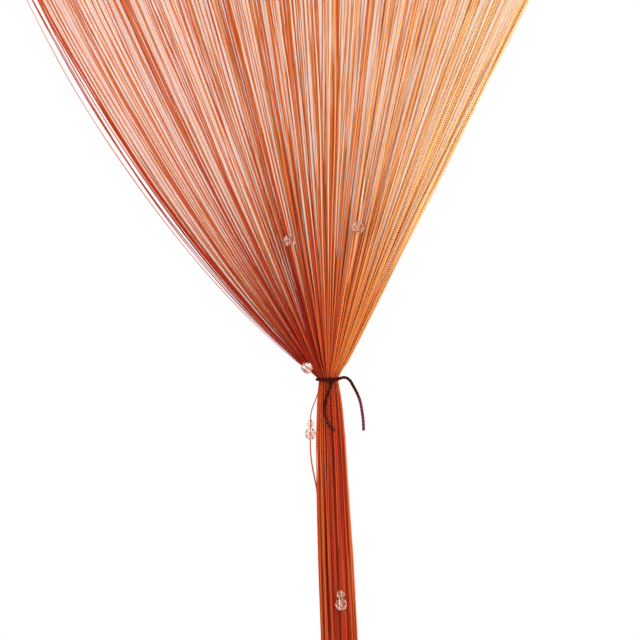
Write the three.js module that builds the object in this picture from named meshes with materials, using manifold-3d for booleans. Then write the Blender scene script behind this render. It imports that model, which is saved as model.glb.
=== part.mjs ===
// String curtain panel, its strings gathered into a bundle by a thin cord tied round them.
// Millimetres, +Z up. The origin is the middle of the panel's top edge and the front faces -Y.
import * as THREE from 'three';
import { mergeVertices } from 'three/addons/utils/BufferGeometryUtils.js';
import Module from 'manifold-3d';

const wasm = await Module();
wasm.setup();

// Panel: a flat heading band over a narrow strip that all the strings are knitted into
const panelWidth = 900;
const panelDrop = 2000; // top edge to the ends of the middle strings
const headingHeight = 42;
const headingThickness = 2;
const stripHeight = 8;
const stripThickness = 1.5;
const pieceGap = 0.3; // between pieces that touch on the real panel
const rootSink = 1; // how far a string's root reaches into the strip

// Tie: the cord that draws the strings together
const tieDepth = 950; // below the top edge
const tieOffset = -54; // from the panel's middle
const tieCordDiameter = 2.2;
const tieLoopRadius = 8.02;
const tieLoopSides = 28;
const cordSides = 8;
const waistHeight = 1.5; // the strings' narrowest place, over the middle of the cord

// Bundle: at the tie the strings stand in a round grid of cells
const bundleColumns = 15;
const cellAtTie = 0.85;
const layerStride = 5; // most layers between strings that are neighbours in the panel

// Sag of a string: its weight over its sideways pull, per millimetre. It fades out to a straight hang.
const sagAtEdge = 0.0037;
const sagLoose = 0.0042; // the string at the left edge, which hangs clear of the others
const sagFrom = 120; // strings rooted nearer to the tie than this, or right of it, hang straight

// Sections along a string by height over the tie. Only strings that sag need those marked so.
const stringSections = [
  { height: 500, width: 1.5, thickness: 0.85, forSag: true },
  { height: 230, width: 1.15, thickness: 0.75, forSag: false },
  { height: 80, width: 0.85, thickness: 0.62, forSag: true },
  { height: 20, width: 0.65, thickness: 0.6, forSag: true },
  { height: waistHeight, width: 0.58, thickness: 0.58, forSag: false },
  { height: -25, width: 0.72, thickness: 0.7, forSag: false },
  { height: -182, width: 1.0, thickness: 0.9, forSag: false },
];
const rootSection = { width: 1.6, thickness: 1.1 };
const endSection = { width: 1.1, thickness: 1.0 };
const beadedSection = { width: 1.1, thickness: 0.75 };

// How much wider than at the tie the bundle is, by height over the tie
const bundleSpread = [
  { height: waistHeight, spread: 1 },
  { height: -25, spread: 1.5 },
  { height: -182, spread: 2.06 },
  { height: -1060, spread: 2.6 },
];

// Beads: faceted, with a hole for the string
const beadSides = 8;
const beadHoleRadius = 1.15;
const beadForms = {
  large: { radius: 4.1, halfLength: 3.9, endRadius: 2.3, girdle: 1.2 },
  small: { radius: 2.8, halfLength: 2.6, endRadius: 1.8, girdle: 0.7 },
};
const pairPitch = 7.1; // a small bead's middle over that of the large one under it
const beadClearance = 0.7;
const standoff = { full: 18, none: 55 }; // how far from a bead its string stands off
const tieZone = { over: 2.4, under: -6 }; // heights between which no string stands off

// Beaded strings: place along the panel from 0 to 1, the side they lie on, and heights over the tie
const beadedStrings = [
  { place: 0.003, side: 'front', beads: [8.4, -700], pairs: [], full: 3.8, none: 30 },
  { place: 0.02, side: 'back', beads: [600, -38], pairs: [-38], full: 14, none: 30 },
  { place: 0.145, side: 'front', beads: [360, -610], pairs: [-610] },
  { place: 0.2, side: 'back', beads: [770, 330, -330], pairs: [-330] },
  { place: 0.235, side: 'front', beads: [560, 97.7, -430], pairs: [560] },
  { place: 0.37, side: 'front', beads: [690, -880], pairs: [] },
  { place: 0.42, side: 'back', beads: [520, -520], pairs: [520] },
  { place: 0.56, side: 'back', beads: [390, -760], pairs: [] },
  { place: 0.62, side: 'front', beads: [800, -156.4], pairs: [-156.4] },
  { place: 0.665, side: 'front', beads: [480, 104.8, -690], pairs: [-690] },
  { place: 0.77, side: 'back', beads: [690, -930], pairs: [690] },
  { place: 0.86, side: 'front', beads: [760, 350, -330], pairs: [] },
  { place: 0.95, side: 'back', beads: [590, -600], pairs: [] },
];

// Knot and free ends of the tie, as points [x, y, z] from the middle of the tie
const knotStrands = {
  over: [[-3.9, -7.7, -0.1], [-1.2, -9.4, -0.9], [1.8, -10.6, -1.5], [4.7, -10.3, -0.9]],
  under: [[4.1, -7.6, 0], [3.0, -8.9, -1.3], [1.9, -9.6, -3.2], [1.5, -10.1, -4.6]],
};
const freeEnds = {
  tie_end_long: {
    along: [0.96, 0.05, 0.28],
    from: [4.7, -10.3, -0.9],
    through: [
      [9.2, -10.0, 0.7], [12.3, -9.7, 0.6], [15, -9.4, -1.6], [16.9, -9.2, -5.2],
      [19.5, -9.0, -10.6], [21.4, -8.9, -16.3], [22.5, -8.8, -24], [23, -8.8, -30.3], [23, -8.8, -36.7],
    ],
  },
  tie_end_short: {
    along: [-0.28, -0.33, -0.9],
    from: [1.5, -10.1, -4.6],
    through: [
      [-0.3, -11.6, -8.8], [-2.3, -12.6, -13.4], [-3.4, -13.2, -18.8], [-3.4, -13.6, -24.4],
      [-2.2, -13.9, -29.3], [0.05, -14.1, -33.6], [2.8, -14.2, -35.8],
    ],
  },
};
const knotSteps = 6;
const freeEndSteps = 10;

const rootHeight = tieDepth - headingHeight - pieceGap - stripHeight; // strings' tops over the tie
const stringLength = panelDrop - headingHeight - pieceGap - stripHeight;
const dressing = {
  string_yarn: new THREE.MeshStandardMaterial({ color: '#d5744a', roughness: 0.9 }),
  heading_tape: new THREE.MeshStandardMaterial({ color: '#cf6f42', roughness: 0.9 }),
  tie_cord: new THREE.MeshStandardMaterial({ color: '#4a1b20', roughness: 0.8 }),
  bead: new THREE.MeshStandardMaterial({ color: '#f1e2dc', roughness: 0.1, opacity: 0.6, transparent: true }),
};

// One closed solid from a geometry whose faces point out
function solidFrom(geometry) {
  const bare = new THREE.BufferGeometry();
  bare.setAttribute('position', geometry.getAttribute('position'));
  bare.setIndex(geometry.index);
  const merged = mergeVertices(bare, 1e-4);
  return new wasm.Manifold(
    new wasm.Mesh({
      numProp: 3,
      vertProperties: new Float32Array(merged.attributes.position.array),
      triVerts: new Uint32Array(merged.index.array),
    }),
  );
}

function geometryFrom(solid) {
  const mesh = solid.getMesh();
  const geometry = new THREE.BufferGeometry();
  geometry.setAttribute('position', new THREE.BufferAttribute(mesh.vertProperties, mesh.numProp));
  geometry.setIndex(new THREE.BufferAttribute(mesh.triVerts, 1));
  return geometry;
}

// Reach of a hanging string by height over its low end, and its length between the two ends
function hangingLine(reach, rise, sag) {
  if (sag === 0) {
    return { reachAt: (height) => (reach * height) / rise, length: Math.hypot(reach, rise) };
  }
  const half = (sag * Math.abs(reach)) / 2;
  const start = Math.asinh((sag * rise) / (2 * Math.sinh(half))) - half;
  const side = Math.sign(reach) / sag;
  return {
    reachAt: (height) => side * (Math.acosh(Math.cosh(start) + sag * height) - start),
    length: (Math.sinh(start + 2 * half) - Math.sinh(start)) / sag,
  };
}

// Order in which the strings of one column take its layers, front to back
function layerOrder(count) {
  const order = [];
  const stride = Math.min(layerStride, Math.ceil(count / 2));
  for (let first = 0; first < stride; first += 1) {
    for (let layer = first; layer < count; layer += stride) {
      order.push(layer);
    }
  }
  return order;
}

// Every string's cell in the bundle, in the order of their roots along the panel
function bundleCells() {
  const radius = (bundleColumns * cellAtTie) / 2;
  const cells = [];
  for (let column = 0; column < bundleColumns; column += 1) {
    const across = (column - (bundleColumns - 1) / 2) * cellAtTie;
    const count = Math.round((2 * Math.sqrt(radius ** 2 - across ** 2)) / cellAtTie);
    layerOrder(count).forEach((layer) => cells.push({ column, across, layer, count }));
  }
  beadedStrings.forEach((string) => {
    const index = Math.floor(string.place * cells.length);
    const cell = cells[index];
    const wanted = string.side === 'front' ? 0 : cell.count - 1;
    const holder = cells.find((other) => other.column === cell.column && other.layer === wanted);
    [cell.layer, holder.layer] = [holder.layer, cell.layer];
    cell.beaded = string;
  });
  return cells.map((cell) => ({ ...cell, deep: (cell.layer - (cell.count - 1) / 2) * cellAtTie }));
}

// Straight-line reading of a table of rows that go down in height
function readAt(rows, height, key) {
  const last = Math.max(1, rows.findIndex((row) => row.height <= height));
  const upper = rows[last - 1];
  const lower = rows[last];
  const share = (height - lower.height) / (upper.height - lower.height);
  return lower[key] + (upper[key] - lower[key]) * share;
}

// Sections of a string that carries no beads, top to bottom
function plainSections(cell, index, count) {
  const rise = rootHeight - waistHeight;
  const root = ((index + 0.5) / count - 0.5) * panelWidth - tieOffset;
  const fading = Math.max(0, -root - sagFrom) / (panelWidth / 2 + tieOffset - sagFrom);
  const sag = index === 0 ? sagLoose : sagAtEdge * fading;
  const line = hangingLine(root - cell.across, rise, sag);
  const rows = stringSections.filter((section) => sag > 0 || !section.forSag);
  const sections = rows.map((row) => {
    if (row.height > waistHeight) {
      const climb = row.height - waistHeight;
      return { ...row, across: cell.across + line.reachAt(climb), deep: cell.deep * (1 - climb / rise) };
    }
    const spread = readAt(bundleSpread, row.height, 'spread');
    return { ...row, across: cell.across * spread, deep: cell.deep * spread };
  });
  const end = waistHeight - (stringLength - line.length);
  const spread = readAt(bundleSpread, end, 'spread');
  return [
    { height: rootHeight + rootSink, across: root, deep: 0, ...rootSection },
    ...sections,
    { height: end, across: cell.across * spread, deep: cell.deep * spread, ...endSection },
  ];
}

// How far a beaded string stands off at a height, from 0 to 1
function standoffAt(string, height) {
  if (height < tieZone.over && height > tieZone.under) {
    return 0;
  }
  const { full, none } = { ...standoff, ...string };
  const shares = string.beads
    .filter((bead) => bead > 0 === height > 0)
    .map((bead) => (none - Math.abs(height - bead)) / (none - full));
  return Math.min(Math.max(...shares, 0), 1);
}

// Sections of a beaded string: those of a plain one, and more where it stands off for its beads
function beadedSections(cell, plain) {
  const { full, none } = { ...standoff, ...cell.beaded };
  const steps = cell.beaded.beads.flatMap((bead) => [none, full, -full, -none].map((step) => bead + step));
  const free = steps.filter((height) => height > tieZone.over || height < tieZone.under);
  const inside = free.filter((height) => height < rootHeight && height > plain.at(-1).height);
  const heights = [...new Set([...plain.map(({ height }) => height), ...inside])].sort((a, b) => b - a);
  const reach = beadForms.large.radius + beadClearance;
  const bundleRadius = (bundleColumns * cellAtTie) / 2;
  return heights.map((height) => {
    const read = (key) => readAt(plain, height, key);
    const [across, deep] = [read('across'), read('deep')];
    const share = standoffAt(cell.beaded, height);
    const size = share > 0 ? beadedSection : { width: read('width'), thickness: read('thickness') };
    if (height > waistHeight) {
      const face = bundleRadius * (1 - (height - waistHeight) / (rootHeight - waistHeight));
      const clear = Math.sign(cell.deep) * (face + reach);
      return { height, across, deep: deep + (clear - deep) * share, ...size };
    }
    const edge = bundleRadius * readAt(bundleSpread, Math.min(height, waistHeight), 'spread') + reach;
    const scale = 1 + (edge / Math.hypot(across, deep) - 1) * share;
    return { height, across: across * scale, deep: deep * scale, ...size };
  });
}

// Every string of the panel, left to right, with its sections
function panelStrings() {
  const cells = bundleCells();
  return cells.map((cell, index) => {
    const plain = plainSections(cell, index, cells.length);
    const sections = cell.beaded ? beadedSections(cell, plain) : plain;
    return { beaded: cell.beaded, sections };
  });
}

// Point given from the middle of the tie, in the panel's frame
function place(across, deep, height) {
  return new THREE.Vector3(tieOffset + across, deep, height - tieDepth);
}

// Four-sided string through its sections
function stringGeometry(sections) {
  const corners = [[-0.5, -0.5], [0.5, -0.5], [0.5, 0.5], [-0.5, 0.5]];
  const points = [];
  sections.forEach(({ height, across, deep, width, thickness }) => {
    corners.forEach(([side, face]) => {
      points.push(...place(across + side * width, deep + face * thickness, height));
    });
  });
  const faces = [];
  for (let section = 0; section + 1 < sections.length; section += 1) {
    corners.forEach((_, corner) => {
      const top = section * 4 + corner;
      const topNext = section * 4 + ((corner + 1) % 4);
      faces.push(top, top + 4, topNext, topNext, top + 4, topNext + 4);
    });
  }
  const last = (sections.length - 1) * 4;
  faces.push(0, 1, 2, 0, 2, 3);
  faces.push(last, last + 2, last + 1, last, last + 3, last + 2);
  const geometry = new THREE.BufferGeometry();
  geometry.setAttribute('position', new THREE.Float32BufferAttribute(points, 3));
  geometry.setIndex(faces);
  return geometry;
}

function beadGeometry({ radius, halfLength, endRadius, girdle }) {
  const profile = [
    [beadHoleRadius, -halfLength], [endRadius, -halfLength], [radius, -girdle],
    [radius, girdle], [endRadius, halfLength], [beadHoleRadius, halfLength],
    [beadHoleRadius, -halfLength],
  ].map(([out, up]) => new THREE.Vector2(out, up));
  return new THREE.LatheGeometry(profile, beadSides);
}

// Bead on the straight run of string between the two sections that its height falls between
function beadMesh(sections, height, form) {
  const lower = sections.findIndex((section) => section.height < height);
  const [top, bottom] = [sections[lower - 1], sections[lower]].map((section) => (
    place(section.across, section.deep, section.height)
  ));
  const share = (height - sections[lower].height) / (sections[lower - 1].height - sections[lower].height);
  const mesh = new THREE.Mesh(beadGeometry(form), dressing.bead);
  mesh.position.lerpVectors(bottom, top, share);
  const along = top.clone().sub(bottom).normalize();
  mesh.quaternion.setFromUnitVectors(new THREE.Vector3(0, 1, 0), along);
  return mesh;
}

function beadMeshes(strings) {
  const meshes = [];
  strings.filter(({ beaded }) => beaded).forEach(({ beaded, sections }) => {
    beaded.beads.forEach((height) => {
      meshes.push(beadMesh(sections, height, beadForms.large));
      if (beaded.pairs.includes(height)) {
        meshes.push(beadMesh(sections, height + pairPitch, beadForms.small));
      }
    });
  });
  meshes.forEach((mesh, index) => {
    mesh.name = `bead_${String(index + 1).padStart(2, '0')}`;
  });
  return meshes;
}

function stringsMesh(strings) {
  const strip = new THREE.BoxGeometry(panelWidth, stripThickness, stripHeight);
  strip.translate(0, 0, rootHeight - tieDepth + stripHeight / 2);
  const solids = strings.map(({ sections }) => solidFrom(stringGeometry(sections)));
  const fused = wasm.Manifold.union([solidFrom(strip), ...solids]);
  const mesh = new THREE.Mesh(geometryFrom(fused), dressing.string_yarn);
  mesh.name = 'strings';
  return mesh;
}

function headingMesh() {
  const band = new THREE.BoxGeometry(panelWidth, headingThickness, headingHeight);
  band.translate(0, 0, -headingHeight / 2);
  const mesh = new THREE.Mesh(band, dressing.heading_tape);
  mesh.name = 'heading_band';
  return mesh;
}

// Round cord swept along a curve through points given from the middle of the tie
function cordGeometry(points, steps) {
  const curve = new THREE.CatmullRomCurve3(
    points.map((point) => place(...point)),
  );
  const turns = Array.from({ length: cordSides }, (_, side) => (side * 2 * Math.PI) / cordSides);
  const round = turns.map((turn) => {
    const radius = tieCordDiameter / 2;
    return new THREE.Vector2(radius * Math.cos(turn), radius * Math.sin(turn));
  });
  const sweep = { steps, extrudePath: curve, bevelEnabled: false };
  return new THREE.ExtrudeGeometry(new THREE.Shape(round), sweep);
}

// Loop round the bundle, with the two crossing turns of its knot in front
function tieLoopMesh() {
  const loop = new THREE.TorusGeometry(tieLoopRadius, tieCordDiameter / 2, cordSides, tieLoopSides);
  loop.translate(tieOffset, 0, -tieDepth);
  const turns = Object.values(knotStrands).map((points) => (
    solidFrom(cordGeometry(points, knotSteps))
  ));
  const fused = wasm.Manifold.union([solidFrom(loop), ...turns]);
  const mesh = new THREE.Mesh(geometryFrom(fused), dressing.tie_cord);
  mesh.name = 'tie_loop';
  return mesh;
}

// Free end of the tie, a piece gap past the knot's own end
function freeEndMesh(name, { along, from, through }) {
  const start = new THREE.Vector3(...from).addScaledVector(new THREE.Vector3(...along).normalize(), pieceGap);
  const geometry = cordGeometry([start.toArray(), ...through], freeEndSteps);
  const mesh = new THREE.Mesh(geometry, dressing.tie_cord);
  mesh.name = name;
  return mesh;
}

const strings = panelStrings();
const curtain = new THREE.Group();
curtain.add(headingMesh(), stringsMesh(strings), tieLoopMesh(), ...beadMeshes(strings));
Object.entries(freeEnds).forEach(([name, end]) => curtain.add(freeEndMesh(name, end)));

export default curtain;
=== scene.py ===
import math

import bpy
import numpy as np
from mathutils import Matrix, Vector


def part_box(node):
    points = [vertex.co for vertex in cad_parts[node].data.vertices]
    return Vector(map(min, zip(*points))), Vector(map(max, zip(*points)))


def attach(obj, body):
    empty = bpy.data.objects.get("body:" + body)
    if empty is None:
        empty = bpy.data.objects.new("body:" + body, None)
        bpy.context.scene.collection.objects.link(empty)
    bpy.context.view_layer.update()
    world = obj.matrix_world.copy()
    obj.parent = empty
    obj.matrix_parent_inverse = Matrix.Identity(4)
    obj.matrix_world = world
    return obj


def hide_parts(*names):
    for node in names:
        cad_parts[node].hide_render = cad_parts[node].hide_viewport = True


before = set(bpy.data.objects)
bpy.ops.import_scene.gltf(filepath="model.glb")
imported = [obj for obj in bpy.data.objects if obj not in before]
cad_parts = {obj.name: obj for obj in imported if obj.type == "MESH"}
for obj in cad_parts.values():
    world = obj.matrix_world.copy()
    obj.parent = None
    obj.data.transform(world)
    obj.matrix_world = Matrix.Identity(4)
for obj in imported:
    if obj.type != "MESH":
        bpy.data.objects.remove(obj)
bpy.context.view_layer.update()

# String curtain gathered into a bundle by a thin tied cord. Metres in the scene;
# lengths in the dictionaries are millimetres unless the name says otherwise.
mm = 0.001
print("frame loaded")


def linearColour(hexText):
    # sRGB hex to the linear values that Blender's sockets take
    values = [int(hexText[i:i + 2], 16) / 255 for i in (1, 3, 5)]
    linear = [v / 12.92 if v <= 0.04045 else ((v + 0.055) / 1.055) ** 2.4 for v in values]
    return (*linear, 1.0)


def setInputs(tree, node, **inputs):
    # a socket, or a node for its first output, links; anything else is set on the input
    for name, value in inputs.items():
        key = int(name[2:]) if name.startswith("in") and name[2:].isdigit() else name.replace("_", " ")
        if isinstance(value, bpy.types.Node):
            value = value.outputs[0]
        if isinstance(value, bpy.types.NodeSocket):
            tree.links.new(value, node.inputs[key])
        else:
            node.inputs[key].default_value = value


def addNode(tree, kind, settings=None, **inputs):
    node = tree.nodes.new(kind)
    for name, value in (settings or {}).items():
        setattr(node, name, value)
    setInputs(tree, node, **inputs)
    return node


def newGeometryTree(name, inputs):
    # an input for each size, and one for the material
    tree = bpy.data.node_groups.new(name, "GeometryNodeTree")
    tree.interface.new_socket("Geometry", in_out="INPUT", socket_type="NodeSocketGeometry")
    for label, kind, value in inputs + [("Material", "Material", None)]:
        socket = tree.interface.new_socket(label, in_out="INPUT", socket_type="NodeSocket" + kind)
        if value is not None:
            socket.default_value = value
    tree.interface.new_socket("Geometry", in_out="OUTPUT", socket_type="NodeSocketGeometry")
    return tree, tree.nodes.new("NodeGroupInput")


def endTree(tree, given, geometry):
    whole = addNode(tree, "GeometryNodeRealizeInstances", Geometry=geometry)
    dressed = addNode(tree, "GeometryNodeSetMaterial", Geometry=whole, Material=given.outputs["Material"])
    addNode(tree, "NodeGroupOutput", in0=dressed)


def placeObject(name, data):
    holder = bpy.data.objects.new(name, data)
    bpy.context.collection.objects.link(holder)
    return holder


def bakeTree(source, tree, values, name):
    # runs the tree on the source object and keeps the result as a plain mesh object; what values
    # leaves out stays as the tree's own input says
    modifier = source.modifiers.new("build", "NODES")
    modifier.node_group = tree
    for item in tree.interface.items_tree:
        if item.item_type == "SOCKET" and item.in_out == "INPUT" and item.name in values:
            modifier[item.identifier] = values[item.name]
    bpy.context.view_layer.update()
    graph = bpy.context.evaluated_depsgraph_get()
    mesh = bpy.data.meshes.new_from_object(source.evaluated_get(graph), depsgraph=graph)
    source.modifiers.remove(modifier)
    mesh.name = name
    bpy.data.objects.remove(source)
    return placeObject(name, mesh)


def chainObject(name, chains, attributes):
    # one mesh of open point chains with a float attribute for each name
    edges = []
    start = 0
    for chain in chains:
        edges += [(k, k + 1) for k in range(start, start + len(chain) - 1)]
        start += len(chain)
    mesh = bpy.data.meshes.new(name)
    mesh.from_pydata(np.concatenate(chains).tolist(), edges, [])
    for label, values in attributes.items():
        layer = mesh.attributes.new(label, "FLOAT", "POINT")
        layer.data.foreach_set("value", np.asarray(values, dtype=np.float32))
    return placeObject(name, mesh)


def smoothCurve(points, count, perSpan=24):
    # smooth cubic curve through the points, evenly sampled by length
    p = np.array(points, dtype=float)
    p = np.vstack([2 * p[0] - p[1], p, 2 * p[-1] - p[-2]])
    fine = []
    for i in range(1, len(p) - 2):
        for t in np.linspace(0, 1, perSpan, endpoint=False):
            a, b, c, d = p[i - 1], p[i], p[i + 1], p[i + 2]
            fine.append(0.5 * (2 * b + (c - a) * t + (2 * a - 5 * b + 4 * c - d) * t * t
                               + (3 * b - a - 3 * c + d) * t ** 3))
    fine.append(p[-2])
    fine = np.array(fine)
    run = np.concatenate([[0], np.cumsum(np.linalg.norm(np.diff(fine, axis=0), axis=1))])
    at = np.linspace(0, run[-1], count)
    return np.stack([np.interp(at, run, fine[:, k]) for k in range(3)], axis=1), run[-1]


def smoothStep(value):
    value = np.clip(value, 0, 1)
    return value * value * (3 - 2 * value)


# camera: level view of the tie and the lower part of the fan, rolled a little as the photo is
camera = {
    "millimetresPerPixel": 0.7,
    "frame": 640,
    "tiePixel": (328.5, 379.0),
    "rollDegrees": 2.3,
    "lens": 160.0,
    "sensor": 36.0,
    "clipEnd": 50.0,  # metres
}
tie = {"depth": 950.0, "offset": -54.0}  # under the top edge, and right of the panel's middle
tiePoint = Vector((tie["offset"], 0, -tie["depth"])) * mm


def placeCamera():
    roll = math.radians(camera["rollDegrees"])
    right = Vector((math.cos(roll), 0, -math.sin(roll)))
    up = Vector((math.sin(roll), 0, math.cos(roll)))
    back = Vector((0, -1, 0))
    scale = camera["millimetresPerPixel"] * mm
    half = camera["frame"] / 2
    centre = tiePoint + right * (half - camera["tiePixel"][0]) * scale
    centre = centre + up * (camera["tiePixel"][1] - half) * scale
    distance = camera["frame"] * scale * camera["lens"] / camera["sensor"]
    data = bpy.data.cameras.new("camera")
    data.lens = camera["lens"]
    data.sensor_width = camera["sensor"]
    data.clip_end = camera["clipEnd"]
    holder = placeObject("camera", data)
    turn = Matrix((right, up, back)).transposed().to_4x4()
    holder.matrix_world = Matrix.Translation(centre + back * distance) @ turn
    bpy.context.scene.camera = holder


placeCamera()
print("camera placed")


def newMaterial(name, **finish):
    # finish: what is the same all over the surface, on the shader's own sockets
    material = bpy.data.materials.new(name)
    material.use_nodes = True
    shader = material.node_tree.nodes["Principled BSDF"]
    setInputs(material.node_tree, shader, **finish)
    return material, material.node_tree, shader


# tie cord: two plies of viscose twisted together, so its outline swells and pinches
cord = {
    "diameter": 2.2,
    "lay": 5.0,  # length of one full turn of the plies
    "plies": 2,
    "pinch": 0.91,  # radius in a groove, over the cord's own
    "swell": 0.11,  # how much more it is on a ply's top
    "sides": 16,
    "step": 0.35,
    "points": 40,  # on the route of a free end
    # the ply ramp paints shade into the grooves and light onto the ply tops
    "colour": "#3a0e0b",
    "colourAt": 0.55,  # from the crease, 0, to the lit top of a ply, 1
    "lit": "#4e1815",
    "creaseShade": "#280908",
    # pale painted light on the ply tops, down the lower part of a free end
    "pale": "#8e4a56",
    "rubbedFrom": 0.35,  # share of a free end's length
    "rubbedOver": 0.3,
    "fibresPerMetre": 2600.0,  # clumps of fibres of 0.4 mm
}


def twistedCordMaterial():
    # twisted viscose cord: dark maroon, with painted shade, near black, in the grooves and painted light,
    # a dull red, on the ply tops
    material, tree, shader = newMaterial("twistedViscoseCord", Roughness=0.8, Specular_IOR_Level=0.02)
    around = addNode(tree, "ShaderNodeAttribute", {"attribute_name": "ply"})
    # painted shade in the grooves, painted light on the ply tops
    ramp = addNode(tree, "ShaderNodeValToRGB", Fac=around.outputs["Fac"])
    ramp.color_ramp.elements[0].color = linearColour(cord["creaseShade"])
    ramp.color_ramp.elements[1].color = linearColour(cord["lit"])
    ramp.color_ramp.elements.new(cord["colourAt"]).color = linearColour(cord["colour"])
    # pale painted light on the ply tops, by point
    rubbed = addNode(tree, "ShaderNodeAttribute", {"attribute_name": "rubbed"})
    share = addNode(tree, "ShaderNodeMath", {"operation": "MULTIPLY"}, in0=rubbed.outputs["Fac"],
                    in1=around.outputs["Fac"])
    litTops = addNode(tree, "ShaderNodeMix", {"data_type": "RGBA"}, in0=share, in6=ramp,
                   in7=linearColour(cord["pale"]))
    place = addNode(tree, "ShaderNodeTexCoord")
    fibre = addNode(tree, "ShaderNodeTexNoise", Vector=place.outputs["Object"],
                    Scale=cord["fibresPerMetre"], Detail=3.0)
    bump = addNode(tree, "ShaderNodeBump", Strength=0.35, Distance=0.1 * mm, Height=fibre.outputs["Fac"])
    setInputs(tree, shader, Base_Color=litTops.outputs[2], Normal=bump)
    return material


def twistedCordTree():
    tree, given = newGeometryTree("twistedCord", [
        ("Radius", "Float", cord["diameter"] / 2 * mm),
        ("Lay", "Float", cord["lay"] * mm),
        ("Plies", "Int", cord["plies"]),
        ("Step", "Float", cord["step"] * mm),
    ])
    path = addNode(tree, "GeometryNodeMeshToCurve", Mesh=given.outputs["Geometry"])
    even = addNode(tree, "GeometryNodeResampleCurve", {"mode": "LENGTH"}, Curve=path,
                   Length=given.outputs["Step"])
    run = addNode(tree, "GeometryNodeSplineParameter")
    turns = addNode(tree, "ShaderNodeMath", {"operation": "DIVIDE"}, in0=run.outputs["Length"],
                    in1=given.outputs["Lay"])
    angle = addNode(tree, "ShaderNodeMath", {"operation": "MULTIPLY"}, in0=turns, in1=2 * math.pi)
    wound = addNode(tree, "GeometryNodeSetCurveTilt", Curve=even, Tilt=angle)
    circle = addNode(tree, "GeometryNodeCurvePrimitiveCircle", Resolution=cord["sides"],
                     Radius=given.outputs["Radius"])
    place = addNode(tree, "GeometryNodeInputPosition")
    parts = addNode(tree, "ShaderNodeSeparateXYZ", Vector=place)
    bearing = addNode(tree, "ShaderNodeMath", {"operation": "ARCTAN2"}, in0=parts.outputs["Y"],
                      in1=parts.outputs["X"])
    lobes = addNode(tree, "ShaderNodeMath", {"operation": "MULTIPLY"}, in0=bearing,
                    in1=given.outputs["Plies"])
    wave = addNode(tree, "ShaderNodeMath", {"operation": "COSINE"}, in0=lobes)
    ply = addNode(tree, "ShaderNodeMath", {"operation": "MULTIPLY_ADD"}, in0=wave, in1=0.5, in2=0.5)
    swell = addNode(tree, "ShaderNodeMath", {"operation": "MULTIPLY_ADD"}, in0=ply,
                    in1=cord["swell"], in2=cord["pinch"])
    shaped = addNode(tree, "ShaderNodeVectorMath", {"operation": "SCALE"}, in0=place, Scale=swell)
    marked = addNode(tree, "GeometryNodeStoreNamedAttribute", {"data_type": "FLOAT", "domain": "POINT"},
                     Geometry=circle.outputs["Curve"], Name="ply", Value=ply)
    profile = addNode(tree, "GeometryNodeSetPosition", Geometry=marked, Position=shaped)
    tube = addNode(tree, "GeometryNodeCurveToMesh", Curve=wound, Profile_Curve=profile, Fill_Caps=True)
    smooth = addNode(tree, "GeometryNodeSetShadeSmooth", Geometry=tube)
    endTree(tree, given, smooth)
    return tree


cordMaterial = twistedCordMaterial()
cordTree = twistedCordTree()


def fromTie(points):
    # points in millimetres from the middle of the tie, moved into the scene
    return [tuple(tiePoint + Vector(p) * mm) for p in points]


def makeCord(name, chains, rubbed):
    # a twisted cord along each chain; the third argument is how much pale painted light its ply tops get,
    # by point
    source = chainObject(name + "Path", chains, {"rubbed": rubbed})
    piece = bakeTree(source, cordTree, {"Material": cordMaterial}, name)
    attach(piece, "root")
    return piece


# free ends: the long one arches to the right and hangs, the short one lies down the bundle
freeEnds = {
    "tieEndLong": {
        "node": "tie_end_long",
        "rubbed": 0.8,
        "points": [
            (4.99, -10.29, -0.82), (9.2, -10.0, 0.7), (12.3, -9.7, 0.6), (15, -9.4, -1.6),
            (16.9, -9.2, -5.2), (19.5, -9.0, -10.6), (21.4, -8.9, -16.3), (22.5, -8.8, -24),
            (23, -8.8, -30.3), (23, -8.8, -36.7),
        ],
    },
    "tieEndShort": {
        "node": "tie_end_short",
        "rubbed": 0.15,
        "points": [
            (1.42, -10.2, -4.87), (-0.3, -11.6, -8.8), (-2.3, -12.6, -13.4), (-3.4, -13.2, -18.8),
            (-3.4, -13.6, -24.4), (-2.2, -13.9, -29.3), (0.05, -14.1, -33.6), (2.8, -14.2, -35.8),
        ],
    },
}
for name, end in freeEnds.items():
    route, length = smoothCurve(fromTie(end["points"]), cord["points"])
    # painted light: the ply tops grow pale down the lower part of each free end, more on the long one
    lower = smoothStep((np.linspace(0, 1, len(route)) - cord["rubbedFrom"]) / cord["rubbedOver"])
    piece = makeCord(name, [route], lower * end["rubbed"])
    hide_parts(end["node"])
    print(name, "length mm", round(length / mm, 1))

# loop round the bundle and the two crossing turns of its knot, one piece
knot = {
    "loopRadius": 8.02,
    "loopPoints": 72,
    "turnPoints": 16,
    "over": [(-3.9, -7.7, -0.1), (-1.2, -9.4, -0.9), (1.8, -10.6, -1.5), (4.7, -10.3, -0.9)],
    "under": [(4.1, -7.6, 0), (3.0, -8.9, -1.3), (1.9, -9.6, -3.2), (1.5, -10.1, -4.6)],
}


def makeTieLoop():
    turn = np.linspace(-math.pi / 2, 1.5 * math.pi, knot["loopPoints"])
    ring = [(knot["loopRadius"] * math.cos(a), knot["loopRadius"] * math.sin(a), 0) for a in turn]
    chains = [np.array(fromTie(ring))]
    for key in ("over", "under"):
        chains.append(smoothCurve(fromTie(knot[key]), knot["turnPoints"])[0])
    piece = makeCord("tieLoop", chains, np.zeros(sum(len(c) for c in chains)))
    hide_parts("tie_loop")


makeTieLoop()
print("tie made")

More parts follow.
